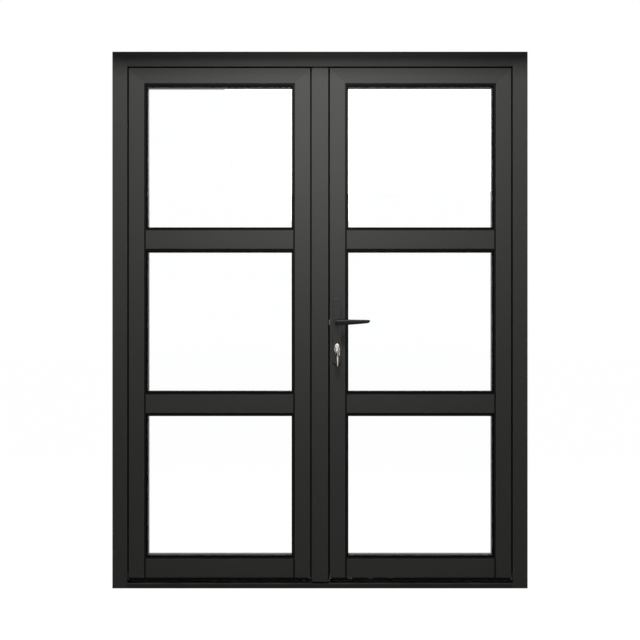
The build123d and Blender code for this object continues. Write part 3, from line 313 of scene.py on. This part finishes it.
# Painted shade: the top rails and the head are darker copies of the profile coat.
rail_painted_shade_coat = coated("rail_painted_shade_coat", (0.078, 0.078, 0.075), 0.42, specular=0.05, **OUTER_COAT)
head_painted_shade_coat = coated("head_painted_shade_coat", (0.08, 0.08, 0.077), 0.44, specular=0.04, **OUTER_COAT)
threshold_coat = coated(
    "threshold_coat", (0.03, 0.03, 0.029), 0.45, bump=0.3, dust_and_top_light_share=0.22, specular=0.08
)
hinge_coat = coated("hinge_coat", (0.07, 0.07, 0.067), 0.4, bump=0.2)
handle_coat = coated("handle_coat", (0.006, 0.006, 0.0058), 0.26, bump=0.1, specular=0.16)
plate_coat = coated("plate_coat", (0.026, 0.026, 0.025), 0.24, bump=0.12, specular=0.4)
print("coated metals made")

# %% [markdown]
# Rubber and plastic are the same kind of finish, darker and duller. The gaskets are almost black,
# which is why every lite in the photograph has a thin dark outline.

# %% Rubber and plastic
gasket_rubber = coated(
    "gasket_rubber", (0.008, 0.008, 0.0075), 0.75, grain=500, bump=0.3, specular=0.02
)
black_plastic = coated("black_plastic", (0.03, 0.03, 0.03), 0.5, grain=1400, bump=0.25)
brush_fibre = coated(
    "brush_fibre", (0.02, 0.02, 0.019), 0.75, grain=2500, bump=0.4, specular=0.2
)
print("rubber, plastic and brush made")

# %% [markdown]
# Bare metal gets its colour from what it mirrors. Turned and ground steel carries fine scratches
# along one direction, so a noise texture is stretched until it reads as brushing.


# %% Bare metal
def bare_metal(name, colour, roughness, stretch):
    material, tree, shader = new_finish(name)
    shader.inputs["Metallic"].default_value = 1.0
    place = add_node(tree, "ShaderNodeTexCoord", (-1100, 0))
    squeeze = add_node(tree, "ShaderNodeMapping", (-900, 0))
    squeeze.inputs["Scale"].default_value = stretch
    join(tree, place.outputs["Object"], squeeze.inputs["Vector"])
    lines = add_node(tree, "ShaderNodeTexNoise", (-700, 0))
    lines.inputs["Scale"].default_value = 1.0
    lines.inputs["Detail"].default_value = 4.0
    join(tree, squeeze.outputs["Vector"], lines.inputs["Vector"])
    scratch = lines.outputs["Fac"]
    tint = two_tones(tree, (-400, 200), scratch, shade_of(colour, 0.85), colour)
    join(tree, tint, shader.inputs["Base Color"])
    wandering_gloss(tree, shader, scratch, roughness * 0.7, roughness * 1.3)
    bump_from(tree, shader, scratch, 0.05, 0.0005)
    return material


bright_nickel = bare_metal("bright_nickel", (0.72, 0.7, 0.66), 0.2, (900, 900, 60))
ground_steel = bare_metal("ground_steel", (0.5, 0.5, 0.49), 0.34, (1500, 1500, 30))
zinc_rod = bare_metal("zinc_rod", (0.42, 0.42, 0.4), 0.4, (1500, 1500, 40))
spacer_metal = bare_metal("spacer_metal", (0.35, 0.35, 0.34), 0.45, (300, 300, 300))
print("bare metals made")

# %% [markdown]
# ## Glass
# Each pane is a real plate with two faces, so light bends in and out again. Clear float glass has a
# faint green tint and a very slight roll wave. Shadow rays pass straight through, which keeps the
# light behind the door as bright as real glass lets it be.


# %% Clear float glass
def float_glass():
    material, tree, shader = new_finish("clear_float_glass")
    shader.inputs["Base Color"].default_value = (0.994, 0.998, 0.996, 1)
    shader.inputs["Roughness"].default_value = 0.0
    shader.inputs["IOR"].default_value = 1.45
    shader.inputs["Transmission Weight"].default_value = 1.0
    place = add_node(tree, "ShaderNodeTexCoord", (-900, -200))
    roll = add_node(tree, "ShaderNodeTexNoise", (-700, -200))
    roll.inputs["Scale"].default_value = 3.0
    join(tree, place.outputs["Object"], roll.inputs["Vector"])
    bump_from(tree, shader, roll.outputs["Fac"], 0.02, 0.001)
    clear = add_node(tree, "ShaderNodeBsdfTransparent", (100, -250))
    rays = add_node(tree, "ShaderNodeLightPath", (100, 300))
    choose = add_node(tree, "ShaderNodeMixShader", (350, 0))
    join(tree, rays.outputs["Is Shadow Ray"], choose.inputs["Fac"])
    join(tree, shader.outputs["BSDF"], choose.inputs[1])
    join(tree, clear.outputs["BSDF"], choose.inputs[2])
    join(tree, choose.outputs["Shader"], tree.nodes["Material Output"].inputs["Surface"])
    return material


clear_glass = float_glass()
print("glass made")

# %% [markdown]
# ## Dress the solids
# The record names a material slot for each solid. One table goes from slot to finish, and a second
# one names the few solids whose tone differs from their slot's: the backplates have a coat of their
# own, and the head and top rails get painted shade.

# %% Give every solid its finish
FINISHES = {
    "profiles": profile_coat,
    "threshold": threshold_coat,
    "hinges": hinge_coat,
    "pins": ground_steel,
    "glass": clear_glass,
    "spacers": spacer_metal,
    "rubber": gasket_rubber,
    "brush": brush_fibre,
    "packers": black_plastic,
    "lock_steel": ground_steel,
    "rods": zinc_rod,
    "handles": handle_coat,
    "nickel": bright_nickel,
}
# Own coat for the backplates; painted shade for the head and the top rails.
OWN_TONES_AND_PAINTED_SHADE = {
    "head": head_painted_shade_coat,
    "left_top_rail": rail_painted_shade_coat,
    "right_top_rail": rail_painted_shade_coat,
    "outer_backplate": plate_coat,
    "inner_backplate": plate_coat,
}
for entry in frame["record"]["subparts"]:
    solid = frame["nodes"][entry["node"]]
    solid.data.materials.clear()
    solid.data.materials.append(FINISHES[entry["material_slot"]])
for name, coat in OWN_TONES_AND_PAINTED_SHADE.items():
    frame["nodes"][name].data.materials[0] = coat

# %% [markdown]
# ## Small pieces made here
# Brushes, a soft lip, a pad and screws are too fine for the solids. Each is built as a mesh, then
# turned into an object with its finish. A piece of the door also says which body it moves with; the
# floor needs no body.


# %% From a mesh to an object
def mesh_object(name, mesh, finish):
    data = bpy.data.meshes.new(name)
    mesh.to_mesh(data)
    mesh.free()
    data.materials.append(finish)
    made = bpy.data.objects.new(name, data)
    bpy.context.scene.collection.objects.link(made)
    return made


def mesh_piece(name, mesh, finish, body):
    bmesh.ops.recalc_face_normals(mesh, faces=mesh.faces)
    piece = mesh_object(name, mesh, finish)
    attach(piece, body)
    return piece


def wall_between(mesh, first, second):
    for index in range(len(first)):
        after = (index + 1) % len(first)
        mesh.faces.new((first[index], first[after], second[after], second[index]))


def box_faces(mesh, low, high):
    corners = [
        mesh.verts.new((x, y, z))
        for x in (low[0], high[0])
        for y in (low[1], high[1])
        for z in (low[2], high[2])
    ]
    sides = ((0, 1, 3, 2), (4, 6, 7, 5), (0, 4, 5, 1), (2, 3, 7, 6), (0, 2, 6, 4), (1, 5, 7, 3))
    for side in sides:
        mesh.faces.new([corners[index] for index in side])


print("mesh helpers ready")

# %% [markdown]
# ## Brush seals
# Under each leaf a brush closes the gap over the threshold. The solid is only its outline. Here it
# becomes what it is: a folded metal holder with rows of bristle tufts, each slightly out of line.
# A tuft is a four-sided stem that is wider at its tip, because bristles spread.


# %% A tuft and its holder
HOLDER_HEIGHT = 0.007
FOLD = 0.001
TUFT_ROOT = 0.0012
TUFT_TIP = 0.0019
TUFT_FLATTEN = 0.8


def tuft(mesh, x, y, top, bottom, lean=0.0, root=TUFT_ROOT, tip=TUFT_TIP):
    rings = []
    for z, half, shift in ((top, root, 0.0), (bottom, tip, lean)):
        deep = half * TUFT_FLATTEN
        rings.append(
            [
                mesh.verts.new((x + shift + dx * half, y + shift + dy * deep, z))
                for dx, dy in ((-1, -1), (1, -1), (1, 1), (-1, 1))
            ]
        )
    wall_between(mesh, rings[0], rings[1])
    mesh.faces.new(rings[1])


def folded_holder(mesh, low, high, runs):
    for front in (low[1], high[1] - FOLD):
        for start, end in runs:
            box_faces(mesh, (start, front, high[2] - HOLDER_HEIGHT), (end, front + FOLD, high[2]))


print("tuft and holder ready")

# %% [markdown]
# Four rows of tufts stand in each holder. Every second row is moved along by a quarter of a pitch,
# and a sine wave leans each tuft a little its own way, so no two neighbours match and the result is
# still the same each time. The left brush parts round the shoot bolt that drops through it.

# %% Rows of tufts
TUFT_PITCH = 0.0042
ROWS = 4
FIRST_ROW = 0.0018
ROW_PITCH = 0.0028
TUFT_TOP_GAP = 0.001
MOST_LEAN = 0.0006
END_GAP = 0.003
BOLT_X = -0.0625
BOLT_HOLE = 0.0052
BOLT_CLEARANCE = 0.0078
BRIDGE_START = -0.0385
BRIDGE_TOP = 0.0298


def from_bolt(x, y):
    return math.hypot(x - BOLT_X, y)


def tuft_rows(mesh, low, high, holder_end):
    for row in range(ROWS):
        y = low[1] + FIRST_ROW + row * ROW_PITCH
        for index in range(int((high[0] - low[0]) / TUFT_PITCH)):
            x = low[0] + (index + 0.5 + 0.25 * (row % 2)) * TUFT_PITCH
            if from_bolt(x, y) < BOLT_CLEARANCE or x > high[0] - END_GAP:
                continue
            top = high[2] - TUFT_TOP_GAP if x < holder_end else BRIDGE_TOP
            lean = MOST_LEAN * math.sin(index * 12.9 + row * 4.1)
            tuft(mesh, x, y, top, low[2] + abs(lean) * 2, lean)


print("rows ready")

# %% [markdown]
# Where a thick tuft doesn't fit, finer ones fill in: round the bolt's hole, on the short bridge
# behind the cover bar, and at the end of the right brush next to the cover bar.

# %% Fine tufts where a thick one doesn't fit
FINE_HALF = 0.0007
HOLE_STEPS = 14
HOLE_STEP = 0.0012
EDGE_STEP = 0.0014


def fine_tufts(mesh, columns, rows, top, bottom):
    for x in columns:
        for y in rows:
            if from_bolt(x, y) > BOLT_HOLE - 0.0001:
                tuft(mesh, x, y, top, bottom, root=FINE_HALF, tip=FINE_HALF)


def left_fine_tufts(mesh, low, high):
    outer = (low[1] + FINE_HALF, low[1] + FIRST_ROW, high[1] - FIRST_ROW, high[1] - FINE_HALF)
    middle = (HOLE_STEPS - 1) / 2
    round_hole = [BOLT_X + (step - middle) * HOLE_STEP for step in range(HOLE_STEPS)]
    fine_tufts(mesh, round_hole, outer, high[2] - TUFT_TOP_GAP, low[2])
    bridge = [high[0] - 0.0008 - step * EDGE_STEP for step in range(5)]
    fine_tufts(mesh, bridge, outer[1:3], BRIDGE_TOP, low[2])


def right_fine_tufts(mesh, low, high):
    edge = [low[0] + 0.00072 + step * EDGE_STEP for step in range(3)]
    rows = (low[1] + FIRST_ROW, high[1] - FIRST_ROW)
    fine_tufts(mesh, edge, rows, high[2] - TUFT_TOP_GAP, low[2])


print("fine tufts ready")

# %% Both brushes
for side in ("left", "right"):
    low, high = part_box(f"{side}_bottom_seal")
    mesh = bmesh.new()
    if side == "left":
        runs = ((low[0], BOLT_X - BOLT_HOLE), (BOLT_X + BOLT_HOLE, BRIDGE_START))
        folded_holder(mesh, low, high, runs)
        tuft_rows(mesh, low, high, BRIDGE_START)
        left_fine_tufts(mesh, low, high)
    else:
        folded_holder(mesh, low, high, ((low[0], high[0]),))
        tuft_rows(mesh, low, high, high[0])
        right_fine_tufts(mesh, low, high)
    brush = mesh_piece(f"{side}_brush", mesh, brush_fibre, f"{side}_leaf")
    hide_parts(f"{side}_bottom_seal")
    print(brush.name, "has", len(brush.data.polygons), "faces")

# %% [markdown]
# ## Soft fin on the cover bar
# The solid of this seal is a plain strip. The real one is a lip that thins towards its tip and just
# meets the other leaf, so it lets no light through. Its outline is drawn once, in metres seen from
# above, and pulled up from the threshold to the head.

# %% Rubber fin with a thin tip
LIP_OUTLINE = (
    (0.0325, 0.0175),
    (0.0345, 0.0177),
    (0.0375, 0.0188),
    (0.03846, 0.0193),
    (0.03848, 0.0204),
    (0.0372, 0.0211),
    (0.0345, 0.0223),
    (0.0325, 0.0225),
)
LIP_UNDER_HEAD = 0.0006
fin_low, fin_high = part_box("astragal_seal")
head_low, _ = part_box("head")
lip_top = head_low[2] - LIP_UNDER_HEAD
mesh = bmesh.new()
foot, crown = (
    [mesh.verts.new((x, y, z)) for x, y in LIP_OUTLINE] for z in (fin_low[2], lip_top)
)
mesh.faces.new(foot)
mesh.faces.new(crown)
wall_between(mesh, foot, crown)
lip = mesh_piece("cover_bar_lip", mesh, gasket_rubber, "left_leaf")
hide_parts("astragal_seal")
print(lip.name, "is", round(lip_top - fin_low[2], 3), "m long")

# %% [markdown]
# ## Draught pad over the cover bar
# A soft pad sits on top of the cover bar and closes the gap to the head, where no lap runs. It is
# an open-cell foam block with rolled edges, so its edges are beveled and shaded smooth.

# %% Foam pad with rolled edges
PAD_ROLL = 0.0012
PAD_FRONT = 0.0145
PAD_BACK = 0.0255
PAD_PAST_CAP = 0.0055
PAD_PRESS = 0.0001
PAD_UNDER_HEAD = 0.0004
cap_low, cap_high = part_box("astragal_end_caps")
mesh = bmesh.new()
box_faces(
    mesh,
    (cap_low[0] - PAD_PAST_CAP, PAD_FRONT, cap_high[2] - PAD_PRESS),
    (fin_high[0], PAD_BACK, head_low[2] - PAD_UNDER_HEAD),
)
bmesh.ops.bevel(
    mesh, geom=mesh.edges[:], offset=PAD_ROLL, segments=3, affect="EDGES", profile=0.5
)
pad = mesh_piece("cover_bar_pad", mesh, gasket_rubber, "left_leaf")
for face in pad.data.polygons:
    face.use_smooth = True
print(pad.name, "closes", round((head_low[2] - cap_high[2]) * 1000, 1), "mm under the head")

# %% [markdown]
# ## Screws
# Hinges, the lock's faceplate and the strike plate are screwed on. A countersunk head is a lathe
# shape: a short profile turned round its own axis, which ends in a round hollow for the driver. All
# the heads of one body are one mesh, so the scene stays light.

# %% A countersunk screw head
SCREW_SIDES = 24
HEAD_PROFILE = ((1.0, -0.0002), (1.0, 0.0001), (0.9, 0.0004), (0.45, 0.0005), (0.3, -0.0012))


def screw_head(mesh, place, outward, radius):
    turn = Vector((0, 0, 1)).rotation_difference(Vector(outward)).to_matrix().to_4x4()
    stand = Matrix.Translation(place) @ turn
    rings = []
    for share, rise in HEAD_PROFILE:
        ring = []
        for step in range(SCREW_SIDES):
            angle = step * math.tau / SCREW_SIDES
            reach = radius * share
            point = Vector((reach * math.cos(angle), reach * math.sin(angle), rise))
            ring.append(mesh.verts.new(stand @ point))
        rings.append(ring)
    for lower, upper in zip(rings, rings[1:]):
        wall_between(mesh, lower, upper)
    mesh.faces.new(rings[-1])
    mesh.faces.new(list(reversed(rings[0])))


print("a screw head has", len(HEAD_PROFILE), "rings")

# %% [markdown]
# A hinge half has three screws in a zigzag: the middle one sits nearer the pin.

# %% Hinge screws
HINGE_HEIGHTS = (0.25, 1.05, 1.79)
SCREW_RISE = 0.042
SCREW_SPREAD = 0.006
HINGE_SCREW = 0.0042
FRAME_HALF_X, FRAME_HALF_Y = 0.788, 0.030
LEAF_HALF_X, LEAF_HALF_Y = 0.733, 0.038
places = {"frame": [], "left_leaf": [], "right_leaf": []}
for side, sign in (("left", -1), ("right", 1)):
    for height in HINGE_HEIGHTS:
        for rise in (-SCREW_RISE, 0.0, SCREW_RISE):
            spread = SCREW_SPREAD if rise else -SCREW_SPREAD
            z = height + rise
            places["frame"].append((sign * (FRAME_HALF_X + spread), FRAME_HALF_Y, z))
            places[f"{side}_leaf"].append((sign * (LEAF_HALF_X - spread), LEAF_HALF_Y, z))
for body, spots in places.items():
    mesh = bmesh.new()
    for spot in spots:
        screw_head(mesh, spot, (0, 1, 0), HINGE_SCREW)
    piece = mesh_piece(f"{body}_hinge_screws", mesh, ground_steel, body)
    print(piece.name, "holds", len(spots), "screws")

# %% Screws of the lock and the strike
LOCK_SCREW = 0.0035
LOCK_SCREW_INSET = 0.009
for node, body in (("lock_faceplate", "right_leaf"), ("strike_plate", "left_leaf")):
    low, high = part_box(node)
    face_x, outward = (low[0], -1) if node == "lock_faceplate" else (high[0], 1)
    mesh = bmesh.new()
    for z in (low[2] + LOCK_SCREW_INSET, high[2] - LOCK_SCREW_INSET):
        screw_head(mesh, (face_x, 0, z), (outward, 0, 0), LOCK_SCREW)
    mesh_piece(f"{node}_screws", mesh, zinc_rod, body)
print("lock and strike screws made")

# %% [markdown]
# ## Floor, backdrop and light
# The photograph is a cut-out on white. The floor is pale and catches the shadow. To the camera, and
# in reflections and through the glass, most of its brightness is its own, so it reads as white
# without any extra light falling on the door.


# %% Pale floor that keeps the shadow
FLOOR_HALF = 30.0
OWN_LIGHT = 0.86
FLOOR_GLOW = 1.155


def rays_of_the_eye(tree, place):
    rays = add_node(tree, "ShaderNodeLightPath", place)
    seen = rays.outputs["Is Camera Ray"]
    for step, kind in enumerate(("Is Transmission Ray", "Is Glossy Ray"), start=1):
        spot = (place[0] + 200 * step, place[1])
        seen = math_node(tree, "MAXIMUM", spot, seen, rays.outputs[kind])
    return seen


def pale_floor():
    material, tree, shader = new_finish("pale_floor")
    shader.inputs["Base Color"].default_value = (0.3, 0.3, 0.3, 1)
    shader.inputs["Roughness"].default_value = 0.9
    shader.inputs["Specular IOR Level"].default_value = 0.0
    glow = add_node(tree, "ShaderNodeEmission", (0, -300))
    glow.inputs["Strength"].default_value = FLOOR_GLOW
    seen = rays_of_the_eye(tree, (-400, 300))
    share = math_node(tree, "MULTIPLY", (150, 300), seen, OWN_LIGHT)
    choose = add_node(tree, "ShaderNodeMixShader", (350, 0))
    join(tree, share, choose.inputs["Fac"])
    join(tree, shader.outputs["BSDF"], choose.inputs[1])
    join(tree, glow.outputs["Emission"], choose.inputs[2])
    join(tree, choose.outputs["Shader"], tree.nodes["Material Output"].inputs["Surface"])
    return material


mesh = bmesh.new()
bmesh.ops.create_grid(mesh, x_segments=2, y_segments=2, size=FLOOR_HALF)
mesh_object("floor", mesh, pale_floor())
print("floor laid")

# %% [markdown]
# The world has two strengths: plain white for what the eye sees, and a faint soft light that falls
# on the door.

# %% White world
SOFT_LIGHT = 0.025
world = bpy.data.worlds.new("white_world")
bpy.context.scene.world = world
world.use_nodes = True
tree = world.node_tree
tree.nodes.clear()
seen = rays_of_the_eye(tree, (-600, 200))
choose = add_node(tree, "ShaderNodeMixShader", (50, 0))
leave = add_node(tree, "ShaderNodeOutputWorld", (250, 0))
join(tree, seen, choose.inputs["Fac"])
for socket, row, strength in ((1, -150, SOFT_LIGHT), (2, 0, 1.0)):
    sky = add_node(tree, "ShaderNodeBackground", (-200, row))
    sky.inputs["Strength"].default_value = strength
    sky.inputs["Color"].default_value = (1, 1, 1, 1)
    join(tree, sky.outputs["Background"], choose.inputs[socket])
join(tree, choose.outputs["Shader"], leave.inputs["Surface"])
print("world is white to the camera")

# %% [markdown]
# Soft lamps do the work. The main one hangs high in front, so the door is brightest in its upper
# half and falls off towards the floor, as in the photograph. A small one in front keeps the middle
# brighter than the sides and a weak one fills in from the side. Two light the door's edges, and one
# behind shows its inner side to anyone who walks round it.

# %% Soft lamps
LAMPS = (
    # name, place, aimed at, width, height, watts
    ("high_front_lamp", (0.0, -1.25, 2.75), (0.0, 0.0, 1.65), 1.0, 0.6, 21),
    ("centre_lamp", (0.0, -0.95, 1.75), (0.0, 0.0, 1.25), 0.4, 0.5, 2.6),
    ("side_fill_lamp", (-3.0, -2.5, 2.2), (0.0, 0.0, 1.2), 1.5, 1.5, 1.5),
    ("rear_lamp", (0.4, 2.6, 2.4), (0.0, 0.0, 1.0), 2.0, 1.2, 34),
    ("left_edge_lamp", (-3.2, 1.0, 1.9), (-0.8, 0.0, 1.1), 1.2, 1.6, 14),
    ("right_edge_lamp", (3.2, 1.0, 1.9), (0.8, 0.0, 1.1), 1.2, 1.6, 14),
)
for name, place, target, width, height, watts in LAMPS:
    lamp = bpy.data.lights.new(name, "AREA")
    lamp.shape = "RECTANGLE"
    lamp.size = width
    lamp.size_y = height
    lamp.energy = watts
    holder = bpy.data.objects.new(name, lamp)
    holder.location = place
    aim = Vector(target) - Vector(place)
    holder.rotation_euler = aim.to_track_quat("-Z", "Y").to_euler()
    bpy.context.scene.collection.objects.link(holder)
print(len(LAMPS), "lamps hung")

# %% [markdown]
# The head of the door fades to almost black at its top edge in the photograph, as under a lintel.
# A photographer does this with a flag: a dark card between lamp and subject that no ray from the
# camera can see. The nearer the card is to the door, the harder its shadow.

# %% Flag over the head
FLAG_HALF_WIDTH = 1.6
FLAG_BOTTOM = 2.121
FLAG_TOP = 2.7
FLAG_Y = -0.17
mesh = bmesh.new()
corners = ((-1, FLAG_BOTTOM), (1, FLAG_BOTTOM), (1, FLAG_TOP), (-1, FLAG_TOP))
mesh.faces.new([mesh.verts.new((side * FLAG_HALF_WIDTH, FLAG_Y, z)) for side, z in corners])
flag = mesh_object("flag", mesh, black_plastic)
flag.visible_camera = False
flag.visible_glossy = False
flag.visible_transmission = False
print("flag hung over the head")

# %% [markdown]
# ## Camera
# The photograph is taken straight on. Fitting the thickness that shows at the frame's edges gives a
# camera 4.5 m in front of the door at half its height.

# %% Camera at the photograph's place
CAMERA_DISTANCE = 4.5
PICTURE_WIDTH = 2.504
SENSOR = 36.0
FRONT_FACE = -0.034
HALF_HEIGHT = 1.05
camera_data = bpy.data.cameras.new("camera")
camera_data.sensor_width = SENSOR
camera_data.lens = SENSOR * CAMERA_DISTANCE / PICTURE_WIDTH
camera = bpy.data.objects.new("camera", camera_data)
camera.location = (0.0, FRONT_FACE - CAMERA_DISTANCE, HALF_HEIGHT)
camera.rotation_euler = (math.pi / 2, 0, 0)
bpy.context.scene.collection.objects.link(camera)
bpy.context.scene.camera = camera
bpy.context.scene.view_settings.view_transform = "Standard"
print("camera lens is", round(camera_data.lens, 1), "mm")
